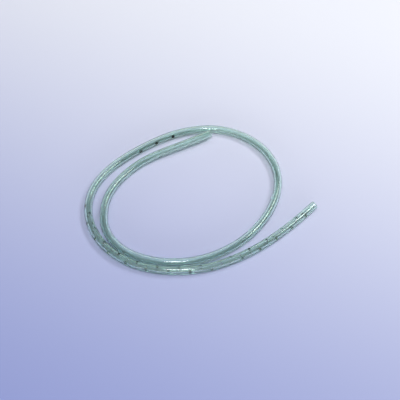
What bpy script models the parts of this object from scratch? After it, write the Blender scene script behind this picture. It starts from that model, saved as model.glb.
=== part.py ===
"""Wound drainage tube: one length of soft clear tubing with punched drain eyes, lying in a loose loop.

The tube is made as the real one is: it is extruded straight, its eyes are punched through both walls
in crossed pairs near one end, and it is then laid along the loop that it lies in.
The floor that it lies on is z = 0, and the origin is under the middle of the loop's outline.
"""

import math

import bmesh
import bpy
import numpy as np

MM = 0.001

# The tube itself. It is sold by its outer size, Charriere 12 being 4.0 mm, and its lumen of 2.3 mm
# is what the wall leaves.
TUBE_LENGTH = 500.0 * MM
TUBE_DIAMETER = 4.0 * MM
WALL_THICKNESS = 0.85 * MM

# The drain eyes, counted from the cut tip. Each punch goes through both walls, and every second
# punch stands at a right angle to the last, half a pitch further on.
PERFORATED_LENGTH = 145.0 * MM
FIRST_EYE_FROM_TIP = 8.65 * MM
EYE_PITCH = 10.15 * MM
EYE_DIAMETER = 1.4 * MM

# How the rows of eyes turn round the tube, from straight up towards the outside of the loop.
EYE_ROLL_AT_TIP = math.radians(80.0)
EYE_ROLL_IN_LOOP = math.radians(-18.0)
TWIST_FROM_TIP = 38.0 * MM
TWIST_LENGTH = 44.0 * MM

# The plain end leans on the lap beside it and is lifted a little by it.
LEAN_ANGLE = math.radians(20.0)
LEAN_RUN = 55.0 * MM

# How finely the round tube is faceted.
TUBE_SIDES = 12
EYE_SIDES = 10
RING_SPACING = 5.6 * MM

# Plan of the loop, from the plain end round the inner lap, then the outer lap, to the eyed tip.
# The points follow the side where the two laps face each other, in millimetres.
LOOP_MIDDLE = (-8.8, 0.0)
ROUTE = [
    (5.4, 43.5), (-6.6, 37.2), (-19.1, 31.4), (-31.1, 24.2), (-40.8, 14.3), (-47.5, 2.4),
    (-49.8, -10.9), (-47.2, -24.4), (-38.9, -35.1), (-26.6, -41.4), (-13.1, -43.4), (0.5, -41.4),
    (13.0, -35.8), (23.8, -27.2), (31.8, -16.1), (37.1, -4.0), (39.2, 9.0), (37.0, 21.8),
    (30.1, 33.1), (19.7, 40.8), (7.3, 44.2), (-5.4, 43.0), (-17.1, 38.6), (-27.8, 31.9),
    (-37.6, 24.2), (-46.1, 15.3), (-52.0, 4.4), (-53.7, -8.2), (-50.8, -20.5), (-43.9, -31.1),
    (-34.0, -38.9), (-22.1, -43.1), (-9.6, -44.0), (2.8, -42.2), (14.5, -37.7), (25.4, -31.4),
    (35.5, -23.7), (44.9, -15.2), (53.9, -6.0),
]
INNER_LAP_ENDS = 0.34
OUTER_LAP_STARTS = 0.54


def smooth_step(value):
    """Run smoothly from 0 to 1 as value does, and stay there on both sides."""
    t = min(max(value, 0.0), 1.0)
    return t * t * (3.0 - 2.0 * t)


def lap_side(share):
    """Give -1 on the inner lap and +1 on the outer, and change over where one strand runs alone."""
    t = (share - INNER_LAP_ENDS) / (OUTER_LAP_STARTS - INNER_LAP_ENDS)
    return 2.0 * min(max(t, 0.0), 1.0) - 1.0


def centreline_plan():
    """Set each lap off from the line between them by the tube's own radius."""
    middle = np.array(LOOP_MIDDLE) * MM
    plan = []
    for index, point in enumerate(ROUTE):
        spoke = np.array(point) * MM - middle
        outward = spoke / np.linalg.norm(spoke)
        side = lap_side(index / (len(ROUTE) - 1))
        plan.append(middle + spoke + side * TUBE_DIAMETER / 2 * outward)
    return np.array(plan)


def natural_spline(points, steps_per_span=24):
    """Return close points on the smoothest cubic curve through the given ones."""
    spans = np.linalg.norm(np.diff(points, axis=0), axis=1)
    slopes = np.diff(points, axis=0) / spans[:, None]
    system = np.eye(len(points))
    target = np.zeros_like(points)
    for i in range(1, len(points) - 1):
        system[i, i - 1:i + 2] = spans[i - 1], 2 * (spans[i - 1] + spans[i]), spans[i]
        target[i] = 6 * (slopes[i] - slopes[i - 1])
    bend = np.linalg.solve(system, target)

    curve = []
    for i, span in enumerate(spans):
        start_slope = slopes[i] - span * (2 * bend[i] + bend[i + 1]) / 6
        for t in np.linspace(0.0, span, steps_per_span, endpoint=False):
            curve.append(points[i] + start_slope * t + bend[i] * t ** 2 / 2
                         + (bend[i + 1] - bend[i]) * t ** 3 / (6 * span))
    curve.append(points[-1])
    return np.array(curve)


def laid_centreline():
    """Return evenly spaced points along the tube's axis as it lies, plain end first."""
    curve = natural_spline(centreline_plan())
    walked = np.concatenate([[0.0], np.cumsum(np.linalg.norm(np.diff(curve, axis=0), axis=1))])
    count = round(walked[-1] / RING_SPACING) + 1
    stations = np.linspace(0.0, walked[-1], count)
    lift = TUBE_DIAMETER * math.sin(LEAN_ANGLE)
    return [(np.interp(s, walked, curve[:, 0]),
             np.interp(s, walked, curve[:, 1]),
             TUBE_DIAMETER / 2 + lift * smooth_step(1.0 - s / LEAN_RUN)) for s in stations]


def make_collection(name):
    """Make a collection in the scene."""
    collection = bpy.data.collections.new(name)
    bpy.context.scene.collection.children.link(collection)
    return collection


def move_to_collection(obj, collection):
    """Keep an object in one collection only."""
    for home in list(obj.users_collection):
        home.objects.unlink(obj)
    collection.objects.link(obj)


def mark_as_helper(obj, collection):
    """Show a cutter or guide as wire, and keep it out of the model."""
    move_to_collection(obj, collection)
    obj.display_type = 'WIRE'
    obj.hide_render = True


def clear_pvc():
    """Soft clear PVC with the green cast that it shows in its thickness."""
    material = bpy.data.materials.new("clear_green_pvc")
    material.use_nodes = True
    shader = material.node_tree.nodes["Principled BSDF"]
    shader.inputs["Base Color"].default_value = (0.72, 0.90, 0.84, 1.0)
    shader.inputs["Metallic"].default_value = 0.0
    shader.inputs["Roughness"].default_value = 0.08
    shader.inputs["IOR"].default_value = 1.53
    shader.inputs["Transmission Weight"].default_value = 1.0
    return material


def make_route(collection):
    """Make the curve that the straight tube is bent along."""
    points = laid_centreline()
    data = bpy.data.curves.new("tube_route", 'CURVE')
    data.dimensions = '3D'
    data.twist_mode = 'Z_UP'
    spline = data.splines.new('POLY')
    spline.points.add(len(points) - 1)
    for spline_point, place in zip(spline.points, points):
        spline_point.co = (*place, 1.0)
    route = bpy.data.objects.new("tube_route", data)
    bpy.context.scene.collection.objects.link(route)
    mark_as_helper(route, collection)
    return route


def make_straight_skin():
    """Make the tube's outer skin, open at both ends, along +X from the plain end."""
    bpy.ops.mesh.primitive_cylinder_add(
        vertices=TUBE_SIDES, radius=TUBE_DIAMETER / 2, depth=TUBE_LENGTH, end_fill_type='NOTHING',
        location=(TUBE_LENGTH / 2, 0.0, 0.0), rotation=(0.0, math.pi / 2, 0.0))
    skin = bpy.context.active_object
    bpy.ops.object.transform_apply(location=True, rotation=True, scale=True)

    mesh = bmesh.new()
    mesh.from_mesh(skin.data)
    long_edges = [edge for edge in mesh.edges if edge.calc_length() > TUBE_LENGTH / 2]
    bmesh.ops.subdivide_edges(
        mesh, edges=long_edges, cuts=round(TUBE_LENGTH / RING_SPACING) - 1, use_grid_fill=True)
    mesh.to_mesh(skin.data)
    mesh.free()
    skin.data.shade_smooth()
    return skin


def eye_roll(from_tip):
    """Angle of the first row of eyes at a distance from the tip, with the tube's own twist."""
    turned = smooth_step((from_tip - TWIST_FROM_TIP) / TWIST_LENGTH)
    return EYE_ROLL_AT_TIP + turned * (EYE_ROLL_IN_LOOP - EYE_ROLL_AT_TIP)


def make_eye_punches(collection):
    """Make one punch for each pair of facing eyes, crossed with the next at half the pitch."""
    half_pitch = EYE_PITCH / 2
    count = math.floor((PERFORATED_LENGTH - FIRST_EYE_FROM_TIP) / half_pitch) + 1
    for index in range(count):
        from_tip = FIRST_EYE_FROM_TIP + index * half_pitch
        roll = eye_roll(from_tip) + (index % 2) * math.pi / 2
        bpy.ops.mesh.primitive_cylinder_add(
            vertices=EYE_SIDES, radius=EYE_DIAMETER / 2, depth=TUBE_DIAMETER * 1.5,
            location=(TUBE_LENGTH - from_tip, 0.0, 0.0), rotation=(roll, 0.0, 0.0))
        punch = bpy.context.active_object
        punch.name = f"eye_punch_{index + 1:02d}"
        mark_as_helper(punch, collection)


def make_tube(parts, punches, route):
    """Give the skin its wall, punch the eyes, and lay the tube along its route."""
    tube = make_straight_skin()
    tube.name = "drainage_tube"
    tube.data.name = "drainage_tube"
    tube.data.materials.append(clear_pvc())
    move_to_collection(tube, parts)

    wall = tube.modifiers.new("tube_wall", 'SOLIDIFY')
    wall.thickness = WALL_THICKNESS
    wall.offset = -1.0

    eyes = tube.modifiers.new("drain_eyes", 'BOOLEAN')
    eyes.operation = 'DIFFERENCE'
    eyes.operand_type = 'COLLECTION'
    eyes.collection = punches
    eyes.solver = 'EXACT'

    tube.modifiers.new("flat_facets", 'TRIANGULATE')

    bend = tube.modifiers.new("laid_in_a_loop", 'CURVE')
    bend.object = route
    bend.deform_axis = 'POS_X'
    return tube


def build():
    """Build the whole tube in an emptied scene."""
    for obj in list(bpy.data.objects):
        bpy.data.objects.remove(obj, do_unlink=True)
    parts = make_collection("wound_drainage_tube")
    punches = make_collection("eye_punches")
    guides = make_collection("guides")
    make_eye_punches(punches)
    make_tube(parts, punches, make_route(guides))


build()
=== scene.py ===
"""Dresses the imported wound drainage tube: clear soft PVC, punched eyes and printed depth dots.

The tube is drawn straight, punched and printed by geometry nodes, and is then laid along the loop.
"""

import math

import bpy
import numpy as np
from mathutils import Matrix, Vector


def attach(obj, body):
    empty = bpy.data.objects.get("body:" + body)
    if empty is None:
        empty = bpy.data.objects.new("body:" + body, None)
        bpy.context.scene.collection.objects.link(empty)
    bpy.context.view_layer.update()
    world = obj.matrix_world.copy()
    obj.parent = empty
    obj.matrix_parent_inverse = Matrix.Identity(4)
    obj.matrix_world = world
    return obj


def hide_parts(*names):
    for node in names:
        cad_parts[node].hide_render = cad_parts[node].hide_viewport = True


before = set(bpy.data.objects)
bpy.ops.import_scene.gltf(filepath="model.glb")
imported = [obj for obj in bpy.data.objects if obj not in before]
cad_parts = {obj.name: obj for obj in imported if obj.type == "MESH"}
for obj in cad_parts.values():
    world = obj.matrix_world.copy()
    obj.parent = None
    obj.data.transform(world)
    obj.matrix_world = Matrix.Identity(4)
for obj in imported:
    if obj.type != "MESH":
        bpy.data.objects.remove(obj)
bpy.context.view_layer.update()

MM = 0.001

# The tube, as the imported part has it.
TUBE_LENGTH = 500.0 * MM
TUBE_DIAMETER = 4.0 * MM
WALL_THICKNESS = 0.85 * MM
PERFORATED_LENGTH = 145.0 * MM
FIRST_EYE_FROM_TIP = 8.65 * MM
EYE_PITCH = 10.15 * MM
EYE_DIAMETER = 1.4 * MM

# A punch is this many times as long as the tube is thick, so that it goes through both walls.
PUNCH_STRETCH = 1.5

# How the rows of eyes turn round the tube, from straight up towards the outside of the loop.
EYE_ROLL_AT_TIP = math.radians(80.0)
EYE_ROLL_IN_LOOP = math.radians(-18.0)
TWIST_FROM_TIP = 38.0 * MM
TWIST_LENGTH = 44.0 * MM

# The plain end leans on the lap beside it.
LEAN_ANGLE = math.radians(20.0)
LEAN_RUN = 55.0 * MM

# How finely the tube is drawn here.
TUBE_SIDES = 48
EYE_SIDES = 24
DOT_SIDES = 32
DOT_RINGS = 4
RING_SPACING = 1.6 * MM
ROUTE_SPACING = 1.0 * MM
CREASE = math.radians(35.0)

# The printed depth dots: distance of a row's first dot from the tip, its dots, the roll of the
# first and the turn to the next, by the same rule as the eyes.
DOT_DIAMETER = 1.8 * MM
DOT_PITCH = 10.0 * MM
INK_THICKNESS = 0.03 * MM
DOT_ROWS = {
    "depth_dot_single": (146.3 * MM, 1, math.radians(68.0), 0.0),
    "depth_dots_triple": (193.0 * MM, 3, math.radians(-81.0), math.radians(5.0)),
}

# The plan of the loop in millimetres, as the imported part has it, from the plain end to the eyed
# tip. The points run between the two laps, and each lap's limit is a share of the way along them.
LOOP_MIDDLE = (-8.8, 0.0)
ROUTE = [
    (5.4, 43.5), (-6.6, 37.2), (-19.1, 31.4), (-31.1, 24.2), (-40.8, 14.3), (-47.5, 2.4),
    (-49.8, -10.9), (-47.2, -24.4), (-38.9, -35.1), (-26.6, -41.4), (-13.1, -43.4), (0.5, -41.4),
    (13.0, -35.8), (23.8, -27.2), (31.8, -16.1), (37.1, -4.0), (39.2, 9.0), (37.0, 21.8),
    (30.1, 33.1), (19.7, 40.8), (7.3, 44.2), (-5.4, 43.0), (-17.1, 38.6), (-27.8, 31.9),
    (-37.6, 24.2), (-46.1, 15.3), (-52.0, 4.4), (-53.7, -8.2), (-50.8, -20.5), (-43.9, -31.1),
    (-34.0, -38.9), (-22.1, -43.1), (-9.6, -44.0), (2.8, -42.2), (14.5, -37.7), (25.4, -31.4),
    (35.5, -23.7), (44.9, -15.2), (53.9, -6.0),
]
INNER_LAP_ENDS = 0.34
OUTER_LAP_STARTS = 0.54

# The photograph's camera: it looks along +Y and down at this point. Its lens and sensor are in
# millimetres, as Blender has them.
CAMERA_AIM = Vector((-0.56, -2.90, 2.0)) * MM
CAMERA_ELEVATION = math.radians(50.0)
CAMERA_DISTANCE = 498.0 * MM
CAMERA_LENS = 90.16
CAMERA_SENSOR = 36.0
CAMERA_NEAREST = 10.0 * MM

# The soft box stands high on the far right, and casts the shadow to the near left. The upper lamp
# hangs on the camera's side. For each: its direction, its width and height in metres, and its power
# in watts.
LAMP_DISTANCE = 1.2
LAMPS = {
    "soft_box": ((0.79, 0.38, 1.0), (1.00, 0.30), 6.7),
    "upper_lamp": ((0.0, -0.36, 1.0), (0.30, 0.25), 5.6),
}

# The room round the table: the strength of its walls, of its pale ceiling, and of the glow low on
# its sides and in front. In a band one gives way to the next. For the ceiling and the glow's top it
# says how far a direction of length 1 goes up, and for the glow's front how far it goes away.
ROOM_COLOUR = (1.0, 1.0, 1.0, 1.0)
ROOM_WALLS = 0.06
ROOM_CEILING = 0.55
ROOM_CEILING_BAND = (0.60, 0.80)
ROOM_GLOW_SIDES = 1.0
ROOM_GLOW_FRONT = 5.0
ROOM_GLOW_FRONT_BAND = (-0.95, -0.50)
ROOM_GLOW_TOP_BAND = (0.15, 0.35)

# The floor's colours: its own pale lavender, with painted light and shade that make it lighter
# towards the far right and away, where the soft box stands. It has the shaded colour where the
# slopes add up to the band's first number, and the lit colour at its last. A slope is for each
# metre to the right or away.
FLOOR_SIZE = 6.0
FLOOR_ROUGHNESS = 0.8
FLOOR_SHADED_END = (0.235, 0.28, 0.58, 1.0)
FLOOR_LIT_END = (0.80, 0.82, 0.895, 1.0)
FLOOR_BAND = (-1.0, 1.0)
FLOOR_SLOPE_RIGHT = 2.0
FLOOR_SLOPE_AWAY = 4.75

# Each point keeps the place that it is drawn at under this name, before the tube is laid.
DRAWN_PLACE = "drawn_place"

# The skin's streaks are squeezed by this factor along the tube, which draws them out. The details
# say how many finer layers the streaks and the clouds have.
STREAK_SQUEEZE = 0.06
STREAK_DETAIL = 2.0
CLOUD_DETAIL = 3.0

# The clear PVC: its deeper and its paler colour, its smoothest and roughest streak, and how many
# streaks and clouds a metre has. Its green tint grows with the thickness that light goes through.
PVC_COLOURS = ((0.82, 0.96, 0.91, 1.0), (0.90, 0.98, 0.95, 1.0))
PVC_ROUGHNESS = (0.03, 0.07)
PVC_STREAKS = 900.0
PVC_CLOUDS = 160.0
PVC_REFRACTION = 1.53
PVC_REFLECTION = 0.12
PVC_CLEARNESS = 0.97
PVC_TINT = (0.42, 0.83, 0.69, 1.0)
PVC_TINT_DENSITY = 150.0

# The printing ink, in the same way: its thick and its thin colour, and its smoothest and roughest.
INK_COLOURS = ((0.002, 0.003, 0.004, 1.0), (0.008, 0.012, 0.014, 1.0))
INK_ROUGHNESS = (0.30, 0.55)
INK_STREAKS = 2500.0
INK_CLOUDS = 1200.0
INK_REFLECTION = 0.20


class NodeBench:
    """Puts nodes into a tree and wires their sockets."""

    def __init__(self, tree):
        self.tree = tree

    def wire(self, value, socket):
        """Feed a socket from another one, or set it to a value."""
        if isinstance(value, bpy.types.NodeSocket):
            self.tree.links.new(value, socket)
        else:
            socket.default_value = value

    def node(self, kind, feeds=None, **settings):
        """Add a node, set its options and feed its named inputs."""
        node = self.tree.nodes.new(kind)
        for name, value in settings.items():
            setattr(node, name, value)
        for name, value in (feeds or {}).items():
            self.wire(value, node.inputs[name])
        return node

    def math(self, operation, *values):
        """Add one step of arithmetic."""
        node = self.node("ShaderNodeMath", operation=operation)
        for value, socket in zip(values, node.inputs):
            self.wire(value, socket)
        return node.outputs["Value"]

    def vector(self, operation, *values):
        """Add one step of vector arithmetic."""
        node = self.node("ShaderNodeVectorMath", operation=operation)
        for value, socket in zip(values, node.inputs):
            self.wire(value, socket)
        return node.outputs["Vector"]

    def scaled(self, vector, factor):
        """Scale a vector by a number."""
        return self.node("ShaderNodeVectorMath", {"Vector": vector, "Scale": factor},
                         operation='SCALE').outputs["Vector"]

    def combine(self, x=0.0, y=0.0, z=0.0):
        """Join three numbers to a vector."""
        return self.node("ShaderNodeCombineXYZ", {"X": x, "Y": y, "Z": z}).outputs["Vector"]

    def separate(self, vector):
        """Split a vector into its three numbers."""
        return self.node("ShaderNodeSeparateXYZ", {"Vector": vector}).outputs

    def eased(self, value, start, end, first, last):
        """Run smoothly from first to last while a value goes from start to end."""
        return self.node("ShaderNodeMapRange",
                         {"Value": value, "From Min": start, "From Max": end,
                          "To Min": first, "To Max": last},
                         interpolation_type='SMOOTHSTEP').outputs["Result"]

    def mixed_colour(self, share, first, last):
        """Mix two colours. The node's sockets share their names, so these go by their places."""
        node = self.node("ShaderNodeMix", data_type='RGBA')
        for value, place in ((share, 0), (first, 6), (last, 7)):
            self.wire(value, node.inputs[place])
        return node.outputs[2]


def new_tree(name, inputs):
    """Make a geometry tree with named inputs and one output, and return its bench and inputs."""
    tree = bpy.data.node_groups.new(name, 'GeometryNodeTree')
    for label, socket_type in inputs.items():
        tree.interface.new_socket(label, in_out='INPUT', socket_type="NodeSocket" + socket_type)
    tree.interface.new_socket("Geometry", in_out='OUTPUT', socket_type='NodeSocketGeometry')
    bench = NodeBench(tree)
    return bench, bench.node("NodeGroupInput").outputs


def finish_tree(bench, geometry):
    """Send a geometry to the tree's output."""
    bench.node("NodeGroupOutput", {"Geometry": geometry})
    return bench.tree


def finish_piece(bench, geometry, material):
    """End the tree of a visible piece: all of it real geometry, with its material on."""
    whole = bench.node("GeometryNodeRealizeInstances", {"Geometry": geometry})
    dressed = bench.node("GeometryNodeSetMaterial",
                         {"Geometry": whole.outputs["Geometry"], "Material": material})
    return finish_tree(bench, dressed.outputs["Geometry"])


def lay_along_route_tree():
    """Bend a straight piece along the route: its x is the distance, y the left and z the up."""
    bench, given = new_tree("lay_along_route", {"Geometry": "Geometry", "Route": "Object"})
    kept = bench.node("GeometryNodeStoreNamedAttribute",
                      {"Geometry": given["Geometry"], "Name": DRAWN_PLACE,
                       "Value": bench.node("GeometryNodeInputPosition").outputs["Position"]},
                      data_type='FLOAT_VECTOR', domain='POINT')
    straight = bench.node("GeometryNodeInputNamedAttribute", {"Name": DRAWN_PLACE},
                          data_type='FLOAT_VECTOR').outputs["Attribute"]
    x, y, z = bench.separate(straight)

    route = bench.node("GeometryNodeObjectInfo", {"Object": given["Route"]}).outputs["Geometry"]
    here = bench.node("GeometryNodeSampleCurve", {"Curves": route, "Length": x}, mode='LENGTH')
    along = here.outputs["Tangent"]
    left = bench.vector('NORMALIZE', bench.vector('CROSS_PRODUCT', (0.0, 0.0, 1.0), along))
    up = bench.vector('CROSS_PRODUCT', along, left)
    across = bench.vector('ADD', bench.scaled(left, y), bench.scaled(up, z))
    laid = bench.node("GeometryNodeSetPosition",
                      {"Geometry": kept.outputs["Geometry"],
                       "Position": bench.vector('ADD', here.outputs["Position"], across)})
    return finish_tree(bench, laid.outputs["Geometry"])


def lay_along_route(bench, geometry, route):
    """Place the bending group in another tree."""
    return bench.node("GeometryNodeGroup", {"Geometry": geometry, "Route": route},
                      node_tree=LAY_ALONG_ROUTE).outputs["Geometry"]


def smooth_but_at_edges(bench, geometry, angle):
    """Shade a mesh smooth, with a crease where its faces meet at more than an angle."""
    smooth = bench.node("GeometryNodeSetShadeSmooth", {"Geometry": geometry})
    bend = bench.node("GeometryNodeInputMeshEdgeAngle").outputs["Unsigned Angle"]
    sharp = bench.node("FunctionNodeCompare", {"A": bend, "B": angle}, operation='GREATER_THAN')
    creased = bench.node("GeometryNodeSetShadeSmooth",
                         {"Geometry": smooth.outputs["Geometry"],
                          "Selection": sharp.outputs["Result"], "Shade Smooth": False},
                         domain='EDGE')
    return creased.outputs["Geometry"]


def straight_bar(bench, sides, rings, radius, length, middle):
    """Add a closed cylinder along X."""
    bar = bench.node("GeometryNodeMeshCylinder",
                     {"Vertices": sides, "Side Segments": rings,
                      "Radius": radius, "Depth": length})
    return bench.node("GeometryNodeTransform",
                      {"Geometry": bar.outputs["Mesh"], "Translation": bench.combine(x=middle),
                       "Rotation": (0.0, math.pi / 2, 0.0)}).outputs["Geometry"]


def eye_punches(bench, given):
    """Place a punch for each pair of facing eyes, crossed with the next at half the pitch."""
    index = bench.node("GeometryNodeInputIndex").outputs["Index"]
    half_pitch = bench.math('MULTIPLY', given["Eye Pitch"], 0.5)
    reach = bench.math('SUBTRACT', given["Perforated Length"], given["First Eye"])
    count = bench.math('ADD', bench.math('FLOOR', bench.math('DIVIDE', reach, half_pitch)), 1.0)
    from_tip = bench.math('MULTIPLY_ADD', index, half_pitch, given["First Eye"])
    from_plain_end = bench.math('SUBTRACT', given["Tube Length"], from_tip)
    points = bench.node("GeometryNodePoints",
                        {"Count": count, "Position": bench.combine(x=from_plain_end)})

    twist_end = bench.math('ADD', given["Twist From"], given["Twist Length"])
    roll = bench.eased(from_tip, given["Twist From"], twist_end,
                       given["Roll At Tip"], given["Roll In Loop"])
    crossed = bench.math('MULTIPLY', bench.math('MODULO', index, 2.0), math.pi / 2)
    turned = bench.combine(x=bench.math('ADD', roll, crossed))
    punch = bench.node("GeometryNodeMeshCylinder",
                       {"Vertices": given["Eye Sides"],
                        "Radius": bench.math('MULTIPLY', given["Eye Diameter"], 0.5),
                        "Depth": bench.math('MULTIPLY', given["Tube Diameter"], PUNCH_STRETCH)})
    return bench.node("GeometryNodeInstanceOnPoints",
                      {"Points": points.outputs["Points"], "Instance": punch.outputs["Mesh"],
                       "Rotation": turned}).outputs["Instances"]


def punched_tube_tree():
    """Draw the tube straight, punch its eyes, and lay it along its route."""
    bench, given = new_tree("punched_tube", {
        "Tube Length": "Float", "Tube Diameter": "Float", "Wall": "Float", "Sides": "Int",
        "Rings": "Int", "Perforated Length": "Float", "First Eye": "Float", "Eye Pitch": "Float",
        "Eye Diameter": "Float", "Eye Sides": "Int", "Roll At Tip": "Float",
        "Roll In Loop": "Float", "Twist From": "Float", "Twist Length": "Float",
        "Crease": "Float", "Route": "Object", "Material": "Material"})
    radius = bench.math('MULTIPLY', given["Tube Diameter"], 0.5)
    middle = bench.math('MULTIPLY', given["Tube Length"], 0.5)
    longer = bench.math('ADD', given["Tube Length"], given["Tube Diameter"])
    outside = straight_bar(bench, given["Sides"], given["Rings"],
                           radius, given["Tube Length"], middle)
    lumen = straight_bar(bench, given["Sides"], given["Rings"],
                         bench.math('SUBTRACT', radius, given["Wall"]), longer, middle)

    cut = bench.node("GeometryNodeMeshBoolean", {"Mesh 1": outside},
                     operation='DIFFERENCE', solver='EXACT')
    bench.tree.links.new(lumen, cut.inputs["Mesh 2"])
    bench.tree.links.new(eye_punches(bench, given), cut.inputs["Mesh 2"])
    laid = lay_along_route(bench, cut.outputs["Mesh"], given["Route"])
    creased = smooth_but_at_edges(bench, laid, given["Crease"])
    return finish_piece(bench, creased, given["Material"])


def ink_dots_tree():
    """Print a row of round dots on the tube's skin, and lay them along the same route."""
    bench, given = new_tree("ink_dots", {
        "Tube Length": "Float", "Tube Diameter": "Float", "First Dot": "Float", "Dots": "Int",
        "Dot Pitch": "Float", "Dot Diameter": "Float", "Dot Sides": "Int",
        "Ink Thickness": "Float", "Roll": "Float", "Roll Step": "Float", "Crease": "Float",
        "Route": "Object", "Material": "Material"})
    radius = bench.math('MULTIPLY', given["Tube Diameter"], 0.5)
    index = bench.node("GeometryNodeInputIndex").outputs["Index"]
    from_tip = bench.math('MULTIPLY_ADD', index, given["Dot Pitch"], given["First Dot"])
    roll = bench.math('MULTIPLY_ADD', index, given["Roll Step"], given["Roll"])
    flat_place = bench.combine(bench.math('SUBTRACT', given["Tube Length"], from_tip),
                               bench.math('MULTIPLY', roll, radius), radius)
    points = bench.node("GeometryNodePoints", {"Count": given["Dots"], "Position": flat_place})
    dot = bench.node("GeometryNodeMeshCylinder",
                     {"Vertices": given["Dot Sides"], "Fill Segments": DOT_RINGS,
                      "Radius": bench.math('MULTIPLY', given["Dot Diameter"], 0.5),
                      "Depth": given["Ink Thickness"]},
                     fill_type='TRIANGLE_FAN')
    row = bench.node("GeometryNodeInstanceOnPoints",
                     {"Points": points.outputs["Points"], "Instance": dot.outputs["Mesh"]})
    flat = bench.node("GeometryNodeRealizeInstances", {"Geometry": row.outputs["Instances"]})

    place = bench.node("GeometryNodeInputPosition").outputs["Position"]
    x, round_skin, height = bench.separate(place)
    turn = bench.math('DIVIDE', round_skin, radius)
    to_left = bench.math('MULTIPLY', bench.math('SINE', turn), -1.0)
    left = bench.math('MULTIPLY', height, to_left)
    up = bench.math('MULTIPLY', height, bench.math('COSINE', turn))
    wrapped = bench.node("GeometryNodeSetPosition",
                         {"Geometry": flat.outputs["Geometry"],
                          "Position": bench.combine(x, left, up)})
    laid = lay_along_route(bench, wrapped.outputs["Geometry"], given["Route"])
    creased = smooth_but_at_edges(bench, laid, given["Crease"])
    return finish_piece(bench, creased, given["Material"])


def laid_route():
    """Return close points on the tube's axis as it lies, plain end first."""
    curve = natural_spline(centreline_plan())
    walked = np.concatenate([[0.0], np.cumsum(np.linalg.norm(np.diff(curve, axis=0), axis=1))])
    stations = np.linspace(0.0, walked[-1], round(walked[-1] / ROUTE_SPACING) + 1)
    lift = TUBE_DIAMETER * math.sin(LEAN_ANGLE)
    return [(np.interp(s, walked, curve[:, 0]),
             np.interp(s, walked, curve[:, 1]),
             TUBE_DIAMETER / 2 + lift * smooth_step(1.0 - s / LEAN_RUN)) for s in stations]


def smooth_step(value):
    """Run smoothly from 0 to 1 as value does, and stay there on both sides."""
    t = min(max(value, 0.0), 1.0)
    return t * t * (3.0 - 2.0 * t)


def centreline_plan():
    """Set each lap off from the line between them by the tube's own radius."""
    middle = np.array(LOOP_MIDDLE) * MM
    plan = []
    for index, point in enumerate(ROUTE):
        spoke = np.array(point) * MM - middle
        outward = spoke / np.linalg.norm(spoke)
        share = index / (len(ROUTE) - 1)
        t = (share - INNER_LAP_ENDS) / (OUTER_LAP_STARTS - INNER_LAP_ENDS)
        side = 2.0 * min(max(t, 0.0), 1.0) - 1.0
        plan.append(middle + spoke + side * TUBE_DIAMETER / 2 * outward)
    return np.array(plan)


def natural_spline(points, steps_per_span=24):
    """Return close points on the smoothest cubic curve through the given ones."""
    spans = np.linalg.norm(np.diff(points, axis=0), axis=1)
    slopes = np.diff(points, axis=0) / spans[:, None]
    system = np.eye(len(points))
    target = np.zeros_like(points)
    for i in range(1, len(points) - 1):
        system[i, i - 1:i + 2] = spans[i - 1], 2 * (spans[i - 1] + spans[i]), spans[i]
        target[i] = 6 * (slopes[i] - slopes[i - 1])
    bend = np.linalg.solve(system, target)

    curve = []
    for i, span in enumerate(spans):
        start_slope = slopes[i] - span * (2 * bend[i] + bend[i + 1]) / 6
        for t in np.linspace(0.0, span, steps_per_span, endpoint=False):
            curve.append(points[i] + start_slope * t + bend[i] * t ** 2 / 2
                         + (bend[i + 1] - bend[i]) * t ** 3 / (6 * span))
    curve.append(points[-1])
    return np.array(curve)


def route_guide(points):
    """Make the curve that the nodes lay the tube along."""
    data = bpy.data.curves.new("route_guide", 'CURVE')
    data.dimensions = '3D'
    spline = data.splines.new('POLY')
    spline.points.add(len(points) - 1)
    for spline_point, place in zip(spline.points, points):
        spline_point.co = (*place, 1.0)
    guide = bpy.data.objects.new("route_guide", data)
    bpy.context.scene.collection.objects.link(guide)
    return guide


def run_tree(tree, name, values):
    """Run a geometry tree once and keep its result as a plain mesh."""
    piece = bpy.data.objects.new(name, bpy.data.meshes.new(name))
    bpy.context.scene.collection.objects.link(piece)
    modifier = piece.modifiers.new(tree.name, 'NODES')
    modifier.node_group = tree
    for socket in tree.interface.items_tree:
        if socket.in_out == 'INPUT':
            modifier[socket.identifier] = values[socket.name]
    graph = bpy.context.evaluated_depsgraph_get()
    made = bpy.data.meshes.new_from_object(piece.evaluated_get(graph))
    # The mesh that the tree starts from has no material, and can leave an empty slot in front.
    while made.materials and made.materials[0] is None:
        made.materials.pop(index=0)
    piece.modifiers.clear()
    piece.data = made
    made.name = name
    return piece


def skin_detail_group():
    """Shader group of the extruded skin: fine streaks along the tube, and slow clouds on it."""
    tree = bpy.data.node_groups.new("skin_detail", 'ShaderNodeTree')
    for name in ("Streaks For A Metre", "Clouds For A Metre"):
        tree.interface.new_socket(name, in_out='INPUT', socket_type='NodeSocketFloat')
    for name in ("Streaks", "Clouds"):
        tree.interface.new_socket(name, in_out='OUTPUT', socket_type='NodeSocketFloat')
    bench = NodeBench(tree)
    given = bench.node("NodeGroupInput").outputs
    straight = bench.node("ShaderNodeAttribute", attribute_name=DRAWN_PLACE).outputs["Vector"]
    drawn_out = bench.vector('MULTIPLY', straight, (STREAK_SQUEEZE, 1.0, 1.0))
    streaks = bench.node("ShaderNodeTexNoise",
                         {"Vector": drawn_out, "Scale": given["Streaks For A Metre"],
                          "Detail": STREAK_DETAIL})
    clouds = bench.node("ShaderNodeTexNoise",
                        {"Vector": straight, "Scale": given["Clouds For A Metre"],
                         "Detail": CLOUD_DETAIL})
    bench.node("NodeGroupOutput",
               {"Streaks": streaks.outputs["Fac"], "Clouds": clouds.outputs["Fac"]})
    return tree


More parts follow.
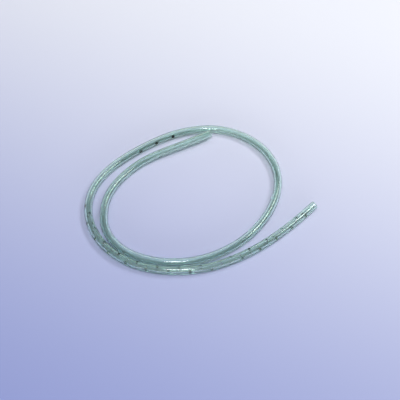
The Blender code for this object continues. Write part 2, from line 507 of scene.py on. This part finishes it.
def skin_material(name, streaks, clouds, colours, roughness):
    """Make a material whose colour follows the skin's clouds, and its roughness the streaks."""
    material = bpy.data.materials.new(name)
    material.use_nodes = True
    bench = NodeBench(material.node_tree)
    skin = bench.node("ShaderNodeGroup",
                      {"Streaks For A Metre": streaks, "Clouds For A Metre": clouds},
                      node_tree=SKIN_DETAIL).outputs
    shader = material.node_tree.nodes["Principled BSDF"]
    bench.wire(bench.mixed_colour(skin["Clouds"], *colours), shader.inputs["Base Color"])
    smoothest, roughest = roughness
    rough = bench.math('MULTIPLY_ADD', skin["Streaks"], roughest - smoothest, smoothest)
    bench.wire(rough, shader.inputs["Roughness"])
    return material, bench, shader


def clear_pvc():
    """Soft clear PVC, a little milky, with the green cast that it shows in its thickness."""
    material, bench, shader = skin_material(
        "clear_green_pvc", PVC_STREAKS, PVC_CLOUDS, PVC_COLOURS, PVC_ROUGHNESS)
    shader.inputs["IOR"].default_value = PVC_REFRACTION
    shader.inputs["Specular IOR Level"].default_value = PVC_REFLECTION
    shader.inputs["Transmission Weight"].default_value = PVC_CLEARNESS
    tint = bench.node("ShaderNodeVolumeAbsorption",
                      {"Color": PVC_TINT, "Density": PVC_TINT_DENSITY})
    output = material.node_tree.nodes["Material Output"]
    bench.wire(tint.outputs["Volume"], output.inputs["Volume"])
    return material


def black_ink():
    """Black printing ink, a little thin in places."""
    material, _, shader = skin_material(
        "black_ink", INK_STREAKS, INK_CLOUDS, INK_COLOURS, INK_ROUGHNESS)
    shader.inputs["Specular IOR Level"].default_value = INK_REFLECTION
    return material


def pale_floor():
    """Make the pale lavender floor, with painted light that makes it lighter towards the far right.
    """
    bpy.ops.mesh.primitive_plane_add(size=FLOOR_SIZE)
    floor = bpy.context.active_object
    floor.name = "floor"
    material = bpy.data.materials.new("pale_floor")
    material.use_nodes = True
    bench = NodeBench(material.node_tree)
    shader = material.node_tree.nodes["Principled BSDF"]
    x, y, _ = bench.separate(bench.node("ShaderNodeTexCoord").outputs["Object"])
    towards_light = bench.math('MULTIPLY_ADD', y, FLOOR_SLOPE_AWAY,
                               bench.math('MULTIPLY', x, FLOOR_SLOPE_RIGHT))
    # Painted light: the floor's colour runs from shaded to lit towards the soft box.
    painted_light = bench.eased(towards_light, *FLOOR_BAND, 0.0, 1.0)
    colour = bench.mixed_colour(painted_light, FLOOR_SHADED_END, FLOOR_LIT_END)
    bench.wire(colour, shader.inputs["Base Color"])
    shader.inputs["Roughness"].default_value = FLOOR_ROUGHNESS
    floor.data.materials.append(material)


def studio_light():
    """Light from the two lamps, in a dim room with a pale ceiling and a glow low all round it."""
    world = bpy.data.worlds.new("dim_room")
    bpy.context.scene.world = world
    world.use_nodes = True
    bench = NodeBench(world.node_tree)
    _, away, up = bench.separate(bench.node("ShaderNodeTexCoord").outputs["Generated"])
    ceiling = bench.eased(up, *ROOM_CEILING_BAND, ROOM_WALLS, ROOM_CEILING)
    glow = bench.eased(away, *ROOM_GLOW_FRONT_BAND, ROOM_GLOW_FRONT, ROOM_GLOW_SIDES)
    low_glow = bench.math('MULTIPLY', bench.eased(up, *ROOM_GLOW_TOP_BAND, 1.0, 0.0), glow)
    background = world.node_tree.nodes["Background"]
    background.inputs["Color"].default_value = ROOM_COLOUR
    bench.wire(bench.math('ADD', ceiling, low_glow), background.inputs["Strength"])

    for name, (direction, size, power) in LAMPS.items():
        data = bpy.data.lights.new(name, 'AREA')
        data.shape = 'RECTANGLE'
        data.size, data.size_y = size
        data.energy = power
        lamp = bpy.data.objects.new(name, data)
        towards = Vector(direction).normalized()
        lamp.location = towards * LAMP_DISTANCE
        lamp.rotation_euler = towards.to_track_quat('Z', 'Y').to_euler()
        bpy.context.scene.collection.objects.link(lamp)


def photograph_camera():
    """Stand the camera where the photograph's stood."""
    data = bpy.data.cameras.new("camera")
    data.lens = CAMERA_LENS
    data.sensor_width = CAMERA_SENSOR
    data.clip_start = CAMERA_NEAREST
    camera = bpy.data.objects.new("camera", data)
    back = Vector((0.0, -math.cos(CAMERA_ELEVATION), math.sin(CAMERA_ELEVATION)))
    camera.location = CAMERA_AIM + back * CAMERA_DISTANCE
    camera.rotation_euler = back.to_track_quat('Z', 'Y').to_euler()
    bpy.context.scene.collection.objects.link(camera)
    bpy.context.scene.camera = camera


LAY_ALONG_ROUTE = lay_along_route_tree()
SKIN_DETAIL = skin_detail_group()

route_points = laid_route()
guide = route_guide(route_points)
tube = run_tree(punched_tube_tree(), "clear_drainage_tube", {
    "Tube Length": TUBE_LENGTH, "Tube Diameter": TUBE_DIAMETER, "Wall": WALL_THICKNESS,
    "Sides": TUBE_SIDES, "Rings": round(TUBE_LENGTH / RING_SPACING),
    "Perforated Length": PERFORATED_LENGTH, "First Eye": FIRST_EYE_FROM_TIP,
    "Eye Pitch": EYE_PITCH, "Eye Diameter": EYE_DIAMETER, "Eye Sides": EYE_SIDES,
    "Roll At Tip": EYE_ROLL_AT_TIP, "Roll In Loop": EYE_ROLL_IN_LOOP,
    "Twist From": TWIST_FROM_TIP, "Twist Length": TWIST_LENGTH,
    "Crease": CREASE, "Route": guide, "Material": clear_pvc()})
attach(tube, "root")
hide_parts("drainage_tube")

dots_tree = ink_dots_tree()
ink = black_ink()
for name, (first, count, roll, step) in DOT_ROWS.items():
    dots = run_tree(dots_tree, name, {
        "Tube Length": TUBE_LENGTH, "Tube Diameter": TUBE_DIAMETER, "First Dot": first,
        "Dots": count, "Dot Pitch": DOT_PITCH, "Dot Diameter": DOT_DIAMETER,
        "Dot Sides": DOT_SIDES, "Ink Thickness": INK_THICKNESS, "Roll": roll, "Roll Step": step,
        "Crease": CREASE, "Route": guide, "Material": ink})
    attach(dots, "root")
bpy.data.objects.remove(guide, do_unlink=True)

pale_floor()
studio_light()
photograph_camera()
bpy.context.scene.view_settings.view_transform = 'Standard'
